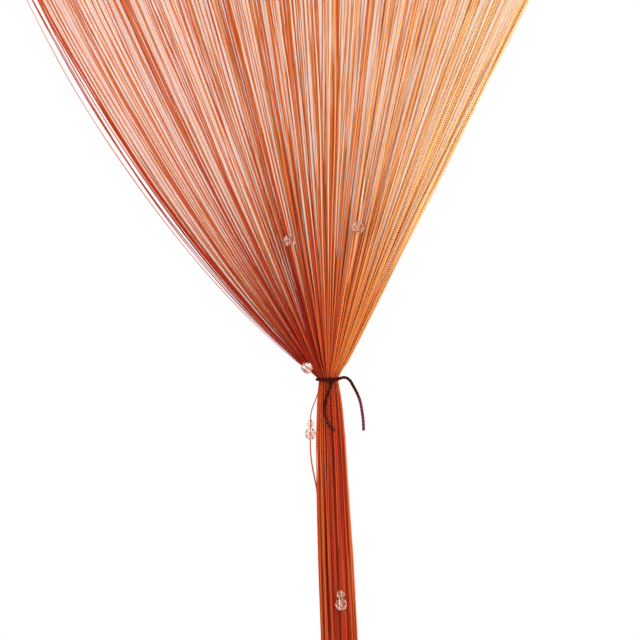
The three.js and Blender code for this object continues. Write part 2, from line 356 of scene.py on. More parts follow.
# strings: flat chain-knitted ribbons, knitted into the heading tape and drawn together by the tie
strings = {
    "count": 345,
    "seed": 11,
    "panelWidth": 900.0,
    "rootDepth": 50.3,
    "drop": 2000.0,
    "width": 1.1,
    "thickness": 0.7,
    "waistHeight": 1.5,  # over the tie's middle, where the bundle is narrowest
    "bundleRadius": 6.3,
    "bundleEnds": (0.003, 0.997),
    "sagAtEdge": 0.00346,  # bend of the left edge's hanging curve, per millimetre
    "sagFrom": 120.0,  # how far left of the tie a root is before its string sags
    "sagPower": 1.5,
    "sagChance": (0.98, 1.0),
    "sagLoose": [0.00375, 0.00366, 0.0036, 0.00355],  # the outermost strings hang slacker
    "looseWidth": 0.65,
    "flare": 0.38,  # how much the bundle opens just above the tie, and over what height
    "flareOver": 9.0,
    "leftPile": (21.0, 0.2),  # how far the strings crowd outwards, and over which share of the panel
    "rightPile": (8.0, 0.07),
    "edgeRoom": 3.0,  # how far inside the heading's end a crowded string may stay
    "gathers": [(117.0, 0.05), (61.0, 0.09), (34.0, 0.11), (19.0, 0.10)],  # wave along the panel, pull
    "gatherFade": 0.3,  # share of the height over which the gathers fade in below the heading
    "ripples": {"x": [(61.0, 1.0), (27.0, 0.6)], "y": [(83.0, 2.0), (31.0, 1.0)]},  # wave length, swing
    "scatter": 0.012,  # of a string's place in the bundle
    "layers": (0.618034, 0.12),  # golden step through the bundle's depth, string by string, and chance
    "layerPower": 0.6,
    "locks": 30,  # groups that the strings of the tail close up into
    "lockTurn": 2.399963,  # golden angle from lock to lock
    "locking": (0.28, 90.0),  # how much a string closes up with its lock, and over what length
    "sways": {"x": [(37.0, 0.35)], "y": [(29.0, 0.35)]},  # in the tail: wave length, swing
    "swayOver": 60.0,
    "endChance": 3.0,  # how uneven the ends hang
    "denseFrom": 300.0,  # heights over the tie between which the points stand close
    "denseTo": -215.0,
    "denseStep": 6.0,
    "upperPoints": 25,
    "lowerPoints": 30,
    "beadedFiner": 3,  # a beaded string has this many points for each one of a plain string
    "pinch": (0.3, 26.0),  # how much narrower a string is at the tie, and over what length
    "widening": (0.45, 280.0, 500.0),  # towards the heading: how much, from what height, over what length
    "twists": [(41.0, 0.9), (17.0, 0.7)],  # wave length, turn in radians
    "sides": 6,
    "pieces": ["stringsLeft", "stringsMiddleLeft", "stringsMiddleRight", "stringsRight"],
}
# colours of the strings: a shade from 0 to 1 picks from the yarn's colour ramp, whose spread from deep
# red to golden is mostly painted light and shade with some tone by chance, and paleness mixes in a pale
# colour as painted light
yarn = {
    "dyeAndLight": [(0.0, "#86100a"), (0.16, "#b03214"), (0.35, "#c65b28"), (0.55, "#d88042"), (0.8, "#eda664"),
            (1.0, "#f8c388")],
    # painted light from the right: lighter across the fan to the right, and more at the right edge
    "across": 0.37,  # lighter from left to right across the fan, and more so at the right
    "rightMore": (0.2, 0.7, 0.3),
    # painted light: lighter where the open fan lets the daylight from behind through
    "opened": (0.29, 0.23),  # lighter where the fan has opened, and more by place
    "openedFrom": -30.0,
    "openedOver": 240.0,
    "chance": 0.105,
    # painted shade: deep red in the tail's middle; painted light: lighter at its edges and in its bands
    "tail": (0.08, 0.26, 0.1),  # shade of the tail's middle, more at its edges, chance
    "tailBands": [(0.83, 0.055, -0.2), (0.13, 0.09, 0.05)],  # place, half width, change of shade
    "tailBlend": 12.0,
    # pale painted light, mixed in by paleness
    "pale": "#f8d2be",
    "paleWaves": [(23.0, 1.3), (37.0, 4.1), (59.0, 0.6)],  # turns across the panel, phase
    "paleAbove": (0.7, 0.6),  # swell from which a string is pale, and how much by swell
    "paleLeft": (0.3, 0.4),  # share of that at the left edge, and where it is whole
    "paleRight": (0.22, 0.55, 0.3),  # a few more pale strings to the right: how much, from, over
    "palest": 0.75,
    "paleFrom": 30.0,  # height over the tie
    "paleOver": 130.0,
    "stitch": 1.7,  # length of a stitch, coarser than the real one so that it shows
    "stitchLean": 0.3,  # how far a stitch's edges run ahead of its middle
    # painted shade in each stitch's groove and a painted highlight on its top
    "stitchLight": (0.6, 1.24),  # groove and top
    "sheen": "#ffc090",
}
# fine filaments between the strings, far thinner than a string; many together make a pale haze, painted
# light that stands in for the pinkish glow of back-light between the strings
filaments = {
    "count": 880,
    "width": 1.0,  # scaled along each filament to its share of the room between two
    "thickness": 1.0,
    "sides": 3,
    "share": (0.65, 0.24),  # high in the fan, and more near the tie
    "closing": (20.0, 160.0),  # height over the tie where the room starts to open, and over how much
    "wander": 0.12,
    "waves": (90.0, 110.0),  # lengths sideways and in depth
    "depths": (-0.3, 0.3),  # nearly one plane, so that the gaps between them stay even from all sides
    "from": 18.0,
    "middle": (260.0, 240.0),  # last height of the upper points, and first of the lower ones
    "inTape": 0.5,
    "rows": (16, 14),  # points along a filament, over its middle and under it
    "inset": 8.0,  # how much narrower than the panel their roots stand
    # painted light from the right: lighter by place
    "shade": (0.5, 0.22, 0.06),  # at the left, more by place, and by chance
    "paleness": (0.25, 0.14),  # at most, and less by chance
    # painted shade: less pale near the tie
    "opened": (0.4, 40.0, 420.0),  # share of that near the tie, and where it grows to the whole
}
# width of the bundle over that at the tie, by height
bundleSpread = {
    "height": [-1060, -182, -126, -85, -43, -15, 1.5],
    "spread": [2.65, 2.12, 2.01, 1.87, 1.66, 1.38, 1.0],
}
# place along the panel of each string that carries beads, and the beads on it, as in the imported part
beadedStrings = [
    (0.003, [1, 2]), (0.02, [3, 4, 5]), (0.145, [6, 7, 8]), (0.2, [9, 10, 11, 12]),
    (0.235, [13, 14, 15, 16]), (0.37, [17, 18]), (0.42, [19, 20, 21]), (0.56, [22, 23]),
    (0.62, [24, 25, 26]), (0.665, [27, 28, 29, 30]), (0.77, [31, 32, 33]), (0.86, [34, 35, 36]),
    (0.95, [37, 38]),
]


def reachAt(reach, rise, sag, height):
    # sideways reach of a hanging string by height over its low end, and its whole length
    if sag <= 0:
        return reach * height / rise, math.hypot(reach, rise)
    half = sag * abs(reach) / 2
    start = math.asinh(sag * rise / (2 * math.sinh(half))) - half
    out = (np.arccosh(np.cosh(start) + sag * height) - start) / sag
    return math.copysign(1, reach) * out, (math.sinh(start + 2 * half) - math.sinh(start)) / sag


def beadCentre(number):
    low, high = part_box("bead_%02d" % number)
    return (np.array(low) + np.array(high)) / 2 / mm - np.array(tiePoint) / mm


def hangingAcross(root, pulledRoot, cellX, sag, heights):
    # sideways place by height: along its hanging curve in the fan, drawn in and flared out round the tie
    waist = strings["waistHeight"]
    rise = tie["depth"] - strings["rootDepth"] - waist
    over = np.clip(heights - waist, 0, rise)
    climb = over / rise
    own = reachAt(root - cellX, rise, sag, over)[0]
    pulled = reachAt(pulledRoot - cellX, rise, sag, over)[0]
    mix = smoothStep((1 - climb) / strings["gatherFade"])
    flare = 1 + strings["flare"] * smoothStep(over / strings["flareOver"]) * (1 - climb)
    return cellX * flare + own * (1 - mix) + pulled * mix


def slackness(root):
    # share of the left edge's sag that a string has, from its root's place right of the tie
    half = strings["panelWidth"] / 2
    outward = max(0, -root - strings["sagFrom"]) / (half + tie["offset"] - strings["sagFrom"])
    return 1 - (1 - min(outward, 1)) ** strings["sagPower"]


def ripple(heights, waves, starts):
    return sum(swing * np.sin(heights / length + start) for (length, swing), start in zip(waves, starts))


def midway(climb, power=0.7):
    # 1 halfway up the fan, 0 at the tie and at the heading, where a string can't wander
    return np.sin(math.pi * np.clip(climb, 0, 1)) ** power


def finer(heights, times):
    steps = np.arange((len(heights) - 1) * times + 1) / times
    return np.interp(steps, np.arange(len(heights)), heights)


def bundleShare():
    # place in the round bundle by share of its area, from left to right
    grid = np.linspace(-1, 1, 2001)
    share = np.cumsum(np.sqrt(np.clip(1 - grid ** 2, 0, 1)))
    return share / share[-1], grid * strings["bundleRadius"]


def stringPaths():
    rng = np.random.default_rng(strings["seed"])
    count = strings["count"]
    top = tie["depth"] - strings["rootDepth"]
    waist = strings["waistHeight"]
    rise = top - waist
    half = strings["panelWidth"] / 2
    waves = [(length, pulling, rng.uniform(0, 2 * math.pi)) for length, pulling in strings["gathers"]]
    share, places = bundleShare()
    lockTurn = np.arange(strings["locks"]) * strings["lockTurn"]
    lockOut = strings["bundleRadius"] * np.sqrt((np.arange(strings["locks"]) + 0.5) / strings["locks"])
    locks = np.stack([lockOut * np.cos(lockTurn), lockOut * np.sin(lockTurn)], axis=1)
    dense = np.arange(strings["denseFrom"], strings["denseTo"], -strings["denseStep"])
    upper = np.linspace(top + 1, strings["denseFrom"], strings["upperPoints"])[:-1]  # 1 mm in the tape
    beaded = {int(place * count) for place, numbers in beadedStrings}
    leftPile, leftOver = strings["leftPile"]
    rightPile, rightOver = strings["rightPile"]
    room = strings["edgeRoom"]
    closing, closingOver = strings["locking"]
    step, chance = strings["layers"]
    sways = strings["sways"]
    ripples = strings["ripples"]
    paths = []
    for i in range(count):
        place = (i + 0.5) / count
        root = (place - 0.5) * strings["panelWidth"] - tie["offset"]
        dealt = np.clip(place + rng.normal(0, strings["scatter"]), *strings["bundleEnds"])
        cellX = np.interp(dealt, share, places)
        deepest = math.sqrt(max(strings["bundleRadius"] ** 2 - cellX ** 2, 0))
        cellY = (((i * step + rng.uniform(0, chance)) % 1) * 2 - 1) * deepest
        pulledRoot = root + sum(pulling * length * math.sin(2 * math.pi * root / length + phase)
                                for length, pulling, phase in waves)
        pulledRoot -= leftPile * smoothStep((leftOver - place) / leftOver)
        pulledRoot += rightPile * smoothStep((place - 1 + rightOver) / rightOver)
        pulledRoot = max(pulledRoot, -half - tie["offset"] + rng.uniform(0, room))
        pulledRoot = min(pulledRoot, half - tie["offset"] - rng.uniform(0, room))
        sag = strings["sagAtEdge"] * slackness(root) * rng.uniform(*strings["sagChance"])
        loose = i < len(strings["sagLoose"])
        if loose:
            sag = strings["sagLoose"][i]
        length = reachAt(root - cellX, rise, sag, np.array([0.0]))[1]
        end = waist - (strings["drop"] - strings["rootDepth"] - length)
        end += rng.uniform(-strings["endChance"], strings["endChance"])
        lower = np.linspace(strings["denseTo"], end, strings["lowerPoints"])
        heights = np.concatenate([upper, dense, lower])
        if i in beaded:
            heights = finer(heights, strings["beadedFiner"])
        climb = np.clip((heights - waist) / rise, 0, 1)
        x = hangingAcross(root, pulledRoot, cellX, sag, heights)
        y = cellY * (1 - climb) ** strings["layerPower"]
        drift = rng.uniform(0, 2 * math.pi, 6)
        x = x + midway(climb) * ripple(heights, ripples["x"], drift[:2])
        y = y + midway(climb) * ripple(heights, ripples["y"], drift[2:4])
        below = heights < waist
        spread = np.interp(heights, bundleSpread["height"], bundleSpread["spread"])
        lock = locks[np.argmin(np.sum((locks - (cellX, cellY)) ** 2, axis=1))]
        close = closing * smoothStep((waist - heights) / closingOver)
        tailX = cellX + (lock[0] - cellX) * close
        tailY = cellY + (lock[1] - cellY) * close
        sway = smoothStep((waist - heights) / strings["swayOver"])
        x = np.where(below, tailX * spread + sway * ripple(heights, sways["x"], drift[4:5]), x)
        y = np.where(below, tailY * spread + sway * ripple(heights, sways["y"], drift[5:]), y)
        paths.append({"x": x, "y": y, "height": heights, "place": place, "loose": loose})
    return paths, rng


def filamentPaths(rng):
    # lines through the whole fan, each as wide as its share of the gap to its neighbours
    share, places = bundleShare()
    top = tie["depth"] - strings["rootDepth"]
    upper, lower = filaments["rows"]
    over, under = filaments["middle"]
    heights = np.concatenate([np.linspace(top + filaments["inTape"], over, upper),
                              np.linspace(under, filaments["from"], lower)])
    count = filaments["count"]
    lines = []
    for i in range(count):
        place = (i + 0.5) / count
        root = (place - 0.5) * (strings["panelWidth"] - filaments["inset"]) - tie["offset"]
        cellX = np.interp(place, share, places)
        lines.append(hangingAcross(root, root, cellX, strings["sagAtEdge"] * slackness(root), heights))
    lines = np.array(lines)
    slope = np.gradient(lines, heights, axis=1)
    least, more = filaments["share"]
    low, over = filaments["closing"]
    share = least + more * (1 - smoothStep((heights - low) / over))
    widths = share * np.gradient(lines, axis=0) / np.sqrt(1 + slope ** 2)
    sideways, inDepth = filaments["waves"]
    paths = []
    for i in range(count):
        drift = rng.uniform(0, 2 * math.pi, 2)
        depth = rng.uniform(*filaments["depths"])
        x = lines[i] + midway(heights / top) * filaments["wander"] * np.sin(heights / sideways + drift[0])
        y = depth * np.sin(heights / inDepth + drift[1])
        paths.append({"x": x, "y": y, "height": heights, "width": widths[i], "place": (i + 0.5) / count})
    return paths


# how a string is led to its beads' holes: wholly within the first distance, not at all from the second
threading = {
    "near": 55.0,  # distance from the tie under which the strings stand close together
    "nearPull": (3.5, 24.0),
    "farPull": (12.0, 55.0),
    "atKnot": 20.0,  # distance from the tie under which the pull ends even sooner
    "knotPull": 7.0,
    "below": 2,  # times as far, down a string that swings out of the tail
    "step": 3.0,  # up and down from a bead's middle, for the direction of its hole
}


def threadBeads(paths):
    # bends each beaded string through the holes of its beads and gives every bead its direction
    beads = []
    step = threading["step"]
    for place, numbers in beadedStrings:
        path = paths[int(place * len(paths))]
        heights = path["height"]
        pull = np.zeros((2, len(heights)))
        weight = np.zeros(len(heights))
        free = np.ones(len(heights))
        centres = [beadCentre(number) for number in numbers]
        for centre in centres:
            away = abs(centre[2])
            full, none = threading["nearPull" if away < threading["near"] else "farPull"]
            if away < threading["atKnot"]:
                none = threading["knotPull"]
            below = (heights < centre[2]) & (-threading["near"] < centre[2] < 0)
            none = np.where(below, threading["below"] * none, none)
            share = smoothStep((none - np.abs(heights - centre[2])) / (none - full))
            for k, axis in enumerate(("x", "y")):
                here = np.interp(-centre[2], -heights, path[axis])
                pull[k] += share * (centre[k] - here)
            weight += share
            free *= 1 - share
        held = (1 - free) / np.maximum(weight, 1e-6)
        path["x"] = path["x"] + pull[0] * held
        path["y"] = path["y"] + pull[1] * held
        for number, centre in zip(numbers, centres):
            over, under = ([np.interp(-(centre[2] + way), -heights, path[axis]) for axis in ("x", "y")]
                           for way in (step, -step))
            along = Vector((over[0] - under[0], over[1] - under[1], 2 * step)).normalized()
            beads.append({"centre": centre, "along": along, "box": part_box("bead_%02d" % number)})
    return beads


def knittedStringMaterial():
    # chain-knitted polyester: matt and saturated, with a painted highlight on the loop of every stitch
    # and painted shade in the groove between loops
    material, tree, shader = newMaterial(
        "chainKnittedPolyester", Roughness=0.8, Specular_IOR_Level=0.15,
        Sheen_Weight=0.08, Sheen_Roughness=0.4, Sheen_Tint=linearColour(yarn["sheen"]),
        Subsurface_Weight=0.5, Subsurface_Radius=(1.0, 0.68, 0.42), Subsurface_Scale=1.2 * mm)
    toneAndLight, along, across, pale = (addNode(tree, "ShaderNodeAttribute", {"attribute_name": name})
                                 for name in ("toneAndLight", "along", "across", "pale"))
    # ramp from deep red to golden, picked by painted light and shade as well as by tone that differs by
    # chance
    dyeAndLight = addNode(tree, "ShaderNodeValToRGB", Fac=toneAndLight.outputs["Fac"])
    stops = yarn["dyeAndLight"]
    dyeAndLight.color_ramp.elements[0].color = linearColour(stops[0][1])
    dyeAndLight.color_ramp.elements[1].color = linearColour(stops[-1][1])
    for at, colour in stops[1:-1]:
        dyeAndLight.color_ramp.elements.new(at).color = linearColour(colour)
    side = addNode(tree, "ShaderNodeMath", {"operation": "ABSOLUTE"}, in0=across.outputs["Fac"])
    # each stitch is a V: its phase runs ahead towards the edges
    pitch = yarn["stitch"] * mm
    vee = addNode(tree, "ShaderNodeMath", {"operation": "MULTIPLY_ADD"}, in0=side,
                  in1=yarn["stitchLean"] * pitch, in2=along.outputs["Fac"])
    phase = addNode(tree, "ShaderNodeMath", {"operation": "MULTIPLY"}, in0=vee, in1=2 * math.pi / pitch)
    wave = addNode(tree, "ShaderNodeMath", {"operation": "SINE"}, in0=phase)
    stitch = addNode(tree, "ShaderNodeMath", {"operation": "MULTIPLY_ADD"}, in0=wave, in1=0.5, in2=0.5)
    # painted shade in the groove of each stitch, painted highlight on its top
    groove, top = yarn["stitchLight"]
    lift = addNode(tree, "ShaderNodeMapRange", Value=stitch, To_Min=groove, To_Max=top)
    grey = addNode(tree, "ShaderNodeCombineColor", in0=lift, in1=lift, in2=lift)
    # mixes in the pale painted light
    mixed = addNode(tree, "ShaderNodeMix", {"data_type": "RGBA"}, in0=pale.outputs["Fac"], in6=dyeAndLight,
                    in7=linearColour(yarn["pale"]))
    shade = addNode(tree, "ShaderNodeMix", {"data_type": "RGBA", "blend_type": "MULTIPLY"}, in0=1.0,
                    in6=mixed.outputs[2], in7=grey)
    bump = addNode(tree, "ShaderNodeBump", Strength=0.5, Distance=0.2 * mm, Height=stitch)
    setInputs(tree, shader, Base_Color=shade.outputs[2], Normal=bump)
    return material


def ribbonTree():
    tree, given = newGeometryTree("knittedRibbon", [
        ("Width", "Float", strings["width"] * mm),
        ("Thickness", "Float", strings["thickness"] * mm),
        ("Sides", "Int", strings["sides"]),
    ])
    path = addNode(tree, "GeometryNodeMeshToCurve", Mesh=given.outputs["Geometry"])
    turn = addNode(tree, "GeometryNodeInputNamedAttribute", {"data_type": "FLOAT"}, Name="turn")
    tilted = addNode(tree, "GeometryNodeSetCurveTilt", Curve=path, Tilt=turn)
    run = addNode(tree, "GeometryNodeSplineParameter")
    marked = addNode(tree, "GeometryNodeStoreNamedAttribute", {"data_type": "FLOAT", "domain": "POINT"},
                     Geometry=tilted, Name="along", Value=run.outputs["Length"])
    circle = addNode(tree, "GeometryNodeCurvePrimitiveCircle", Resolution=given.outputs["Sides"],
                     Radius=1.0)
    place = addNode(tree, "GeometryNodeInputPosition")
    parts = addNode(tree, "ShaderNodeSeparateXYZ", Vector=place)
    sided = addNode(tree, "GeometryNodeStoreNamedAttribute", {"data_type": "FLOAT", "domain": "POINT"},
                    Geometry=circle.outputs["Curve"], Name="across", Value=parts.outputs["X"])
    halfWidth = addNode(tree, "ShaderNodeMath", {"operation": "MULTIPLY"}, in0=given.outputs["Width"],
                        in1=0.5)
    # a hexagon is 0.866 as high as its circle, so the circle's radius is half the thickness over that
    halfThick = addNode(tree, "ShaderNodeMath", {"operation": "MULTIPLY"},
                        in0=given.outputs["Thickness"], in1=0.5774)
    flat = addNode(tree, "ShaderNodeCombineXYZ", X=halfWidth, Y=halfThick, Z=1.0)
    shaped = addNode(tree, "ShaderNodeVectorMath", {"operation": "MULTIPLY"}, in0=place, in1=flat)
    profile = addNode(tree, "GeometryNodeSetPosition", Geometry=sided, Position=shaped)
    size = addNode(tree, "GeometryNodeInputNamedAttribute", {"data_type": "FLOAT"}, Name="size")
    tube = addNode(tree, "GeometryNodeCurveToMesh", Curve=marked,
                   Profile_Curve=profile, Scale=size, Fill_Caps=True)
    smooth = addNode(tree, "GeometryNodeSetShadeSmooth", Geometry=tube)
    endTree(tree, given, smooth)
    return tree


def newKit():
    return {"chains": [], "turn": [], "size": [], "toneAndLight": [], "pale": []}


def finishRibbons(name, kit, sizes, finish, tree):
    source = chainObject(name + "Paths", kit["chains"],
                         {key: np.concatenate(kit[key]) for key in ("turn", "size", "toneAndLight", "pale")})
    piece = bakeTree(source, tree, {
        "Width": sizes["width"] * mm, "Thickness": sizes["thickness"] * mm,
        "Material": finish, "Sides": sizes["sides"],
    }, name)
    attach(piece, "root")
    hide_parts("strings")
    print(name, "triangles", sum(len(p.vertices) - 2 for p in piece.data.polygons))


def scenePoints(path):
    return np.stack([path["x"] + tie["offset"], path["y"], path["height"] - tie["depth"]], axis=1) * mm


def stringShade(place, heights, own):
    # painted light and shade in a string's colour: golden to the right, where light falls from the right,
    # and paler where the fan has opened to the daylight behind it; deep red in the shaded middle of the
    # tail, lighter at its lit edges; some tone by chance
    opened = smoothStep((heights - yarn["openedFrom"]) / yarn["openedOver"])
    base, byPlace = yarn["opened"]
    more, rightFrom, rightOver = yarn["rightMore"]
    fan = yarn["across"] * place + more * smoothStep((place - rightFrom) / rightOver)
    fan = fan + (base + byPlace * place) * opened + yarn["chance"] * own
    middle, edges, chance = yarn["tail"]
    tail = middle + edges * (2 * place - 1) ** 2 + chance * own
    for at, reach, change in yarn["tailBands"]:
        tail += change * math.exp(-((place - at) / reach) ** 2)
    above = smoothStep((heights + yarn["tailBlend"]) / (2 * yarn["tailBlend"]))
    return np.clip(tail + (fan - tail) * above, 0, 1)


def stringPaleness(place, heights, own):
    # painted light: pale streaks that repeat across the panel stand in for back-light glowing between the
    # strings, and a few paler strings to the right are a painted highlight on the lit side; it fades out
    # towards the tie
    swell = sum(math.sin(2 * math.pi * turns * place + start) for turns, start in yarn["paleWaves"])
    least, times = yarn["paleAbove"]
    atLeft, leftOver = yarn["paleLeft"]
    more, rightFrom, rightOver = yarn["paleRight"]
    pale = min(max(swell - least, 0) * times, yarn["palest"])
    pale *= atLeft + (1 - atLeft) * smoothStep(place / leftOver)
    pale += more * max(own, 0) * smoothStep((place - rightFrom) / rightOver)
    return min(pale, yarn["palest"]) * smoothStep((heights - yarn["paleFrom"]) / yarn["paleOver"])


def makeStrings():
    paths, rng = stringPaths()
    beads = threadBeads(paths)
    material = knittedStringMaterial()
    tree = ribbonTree()
    narrower, narrowOver = strings["pinch"]
    wider, wideFrom, wideOver = strings["widening"]
    share = math.ceil(len(paths) / len(strings["pieces"]))
    for k, name in enumerate(strings["pieces"]):
        kit = newKit()
        for path in paths[k * share:(k + 1) * share]:
            heights = path["height"]
            phase = rng.uniform(0, 2 * math.pi, 3)
            own = rng.normal(0, 1)
            pinch = narrower * np.exp(-((heights - strings["waistHeight"]) / narrowOver) ** 2)
            widening = wider * smoothStep((heights - wideFrom) / wideOver)
            slim = strings["looseWidth"] if path["loose"] else 1.0
            kit["chains"].append(scenePoints(path))
            kit["turn"].append(phase[0] + ripple(heights, strings["twists"], phase[1:]))
            kit["size"].append(slim * (1 - pinch + widening))
            kit["toneAndLight"].append(stringShade(path["place"], heights, own))
            kit["pale"].append(stringPaleness(path["place"], heights, own))
        finishRibbons(name, kit, strings, material, tree)
    makeFilaments(rng, material, tree)
    return beads


def makeFilaments(rng, material, tree):
    kit = newKit()
    start, across, chance = filaments["shade"]
    palest, less = filaments["paleness"]
    least, openFrom, openOver = filaments["opened"]
    for path in filamentPaths(rng):
        same = np.ones(len(path["height"]))
        opened = least + (1 - least) * smoothStep((path["height"] - openFrom) / openOver)
        kit["chains"].append(scenePoints(path))
        kit["turn"].append(same * rng.uniform(0, 2 * math.pi))
        kit["size"].append(path["width"])
        kit["toneAndLight"].append(same * (start + across * path["place"] + chance * rng.normal(0, 1)))
        kit["pale"].append(opened * max(palest - less * abs(rng.normal(0, 1)), 0))
    finishRibbons("looseFilaments", kit, filaments, material, tree)


threadedBeads = makeStrings()
print("strings made")

# beads: cut glass, rows of facets set half a step round from each other, with a drilled hole
bead = {
    "sides": 8,
    "hole": 0.9,
    "rows": [(-3.9, 1.7), (-2.5, 3.35), (0.0, 4.1), (2.5, 3.35), (3.9, 1.7)],  # height, radius
    "smallScale": 0.68,
    "largeFrom": 7.0,  # width of a packed bead from which it is a large one
    "spin": 0.7,  # turn round the string from bead to bead, in radians
    "tints": ("#ffe2d2", "#fffaf6"),
    "tintsPerMetre": 420.0,  # patches of 2.4 mm
    "ior": 1.54,
}


def facetedBead():
    # one large bead about the origin, its hole along Z
    sides, rows, hole = bead["sides"], bead["rows"], bead["hole"]
    rings = [(out, up, 0.5 * (row % 2)) for row, (up, out) in enumerate(rows)]
    rings += [(hole, rows[0][0], 0), (hole, rows[-1][0], 0)]
    points = []
    for out, up, shift in rings:
        for k in range(sides):
            turn = (k + shift) * 2 * math.pi / sides
            points.append((out * math.cos(turn) * mm, out * math.sin(turn) * mm, up * mm))
    faces = []
    for row in range(len(rows) - 1):
        low, high = row * sides, (row + 1) * sides
        for k in range(sides):
            n = (k + 1) % sides
            if row % 2 == 0:
                faces += [(low + k, low + n, high + k), (low + n, high + n, high + k)]
            else:
                faces += [(low + k, high + n, high + k), (low + k, low + n, high + n)]
    last = (len(rows) - 1) * sides
    bottom, top = last + sides, last + 2 * sides
    for k in range(sides):
        n = (k + 1) % sides
        faces += [(bottom + k, bottom + n, n, k), (last + k, last + n, top + n, top + k)]
        faces.append((bottom + n, bottom + k, top + k, top + n))
    mesh = bpy.data.meshes.new("beadForm")
    mesh.from_pydata(points, [], faces)
    mesh.validate()
    return placeObject("beadForm", mesh)


def cutGlassMaterial():
    # cut clear glass: sharp facets, bright rims, the strings behind seen bent and pale
    material, tree, shader = newMaterial("cutClearGlass", Roughness=0.02, IOR=bead["ior"],
                                         Transmission_Weight=1.0)
    place = addNode(tree, "ShaderNodeTexCoord")
    noise = addNode(tree, "ShaderNodeTexNoise", Vector=place.outputs["Object"],
                    Scale=bead["tintsPerMetre"], Detail=1.0)
    ramp = addNode(tree, "ShaderNodeValToRGB", Fac=noise.outputs["Fac"])
    for k, tint in enumerate(bead["tints"]):
        ramp.color_ramp.elements[k].color = linearColour(tint)
    setInputs(tree, shader, Base_Color=ramp)
    return material


def beadTree():
    tree, given = newGeometryTree("threadedBeads", [("Bead", "Object", None)])
    form = addNode(tree, "GeometryNodeObjectInfo", Object=given.outputs["Bead"])
    size = addNode(tree, "GeometryNodeInputNamedAttribute", {"data_type": "FLOAT"}, Name="size")
    turn = addNode(tree, "ShaderNodeCombineXYZ")
    for axis in "XYZ":
        angle = addNode(tree, "GeometryNodeInputNamedAttribute", {"data_type": "FLOAT"},
                        Name="turn" + axis)
        setInputs(tree, turn, **{axis: angle})
    placed = addNode(tree, "GeometryNodeInstanceOnPoints", Points=given.outputs["Geometry"],
                     Instance=form.outputs["Geometry"], Rotation=turn, Scale=size)
    endTree(tree, given, placed)
    return tree


def makeBeads():
    glass = cutGlassMaterial()
    form = facetedBead()
    form.data.materials.append(glass)
    points = []
    values = {"size": [], "turnX": [], "turnY": [], "turnZ": []}
    for k, one in enumerate(threadedBeads):
        low, high = one["box"]
        large = (high[0] - low[0]) > bead["largeFrom"] * mm
        points.append(np.array(fromTie([one["centre"]])))
        values["size"].append(1.0 if large else bead["smallScale"])
        spin = Matrix.Rotation(k * bead["spin"], 4, "Z")
        turn = (one["along"].to_track_quat("Z", "Y").to_matrix().to_4x4() @ spin).to_euler()
        for axis, angle in zip("XYZ", turn):
            values["turn" + axis].append(angle)
    source = chainObject("beadPoints", points, values)
    piece = bakeTree(source, beadTree(), {"Bead": form, "Material": glass}, "beads")
    bpy.data.objects.remove(form)
    for polygon in piece.data.polygons:
        polygon.use_smooth = False
    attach(piece, "root")
    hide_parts(*["bead_%02d" % (n + 1) for n in range(len(threadedBeads))])


makeBeads()
print("beads made")

# heading tape: close knitted band that all the strings grow from, with ribs about as close as they are
tape = {
    "width": 900.0,
    "height": 50.3,
    "thickness": 2.0,
    "ribPitch": 2.8,
    "ribDepth": 0.16,
    "step": 0.93,
    "edgeRound": 0.7,
    "roundSteps": 3,
    "profilePoints": 48,
    "courses": 0.35,  # how much the rows of loops show beside the wales
    "colour": "#c76638",
    "shadow": "#96401c",
}


def knittedTapeMaterial():
    # close warp-knitted tape: matt wales that run down into the strings, with painted shade between them
    material, tree, shader = newMaterial("warpKnittedTape", Roughness=0.85, Sheen_Weight=0.2)
    place = addNode(tree, "ShaderNodeTexCoord")
    parts = addNode(tree, "ShaderNodeSeparateXYZ", Vector=place.outputs["Object"])
    wale = addNode(tree, "ShaderNodeMath", {"operation": "MULTIPLY"}, in0=parts.outputs["X"],
                   in1=2 * math.pi / (tape["ribPitch"] * mm))
    ridge = addNode(tree, "ShaderNodeMath", {"operation": "COSINE"}, in0=wale)
    course = addNode(tree, "ShaderNodeMath", {"operation": "MULTIPLY"}, in0=parts.outputs["Z"],
                     in1=2 * math.pi / (yarn["stitch"] * mm))
    loops = addNode(tree, "ShaderNodeMath", {"operation": "SINE"}, in0=course)
    both = addNode(tree, "ShaderNodeMath", {"operation": "MULTIPLY_ADD"}, in0=loops,
                   in1=tape["courses"], in2=ridge)
    level = addNode(tree, "ShaderNodeMapRange", Value=both, From_Min=-1.3, From_Max=1.3)
    ramp = addNode(tree, "ShaderNodeValToRGB", Fac=level)
    ramp.color_ramp.elements[0].color = linearColour(tape["shadow"])
    ramp.color_ramp.elements[1].color = linearColour(tape["colour"])
    bump = addNode(tree, "ShaderNodeBump", Strength=0.6, Distance=0.3 * mm, Height=level)
    setInputs(tree, shader, Base_Color=ramp, Normal=bump)
    return material


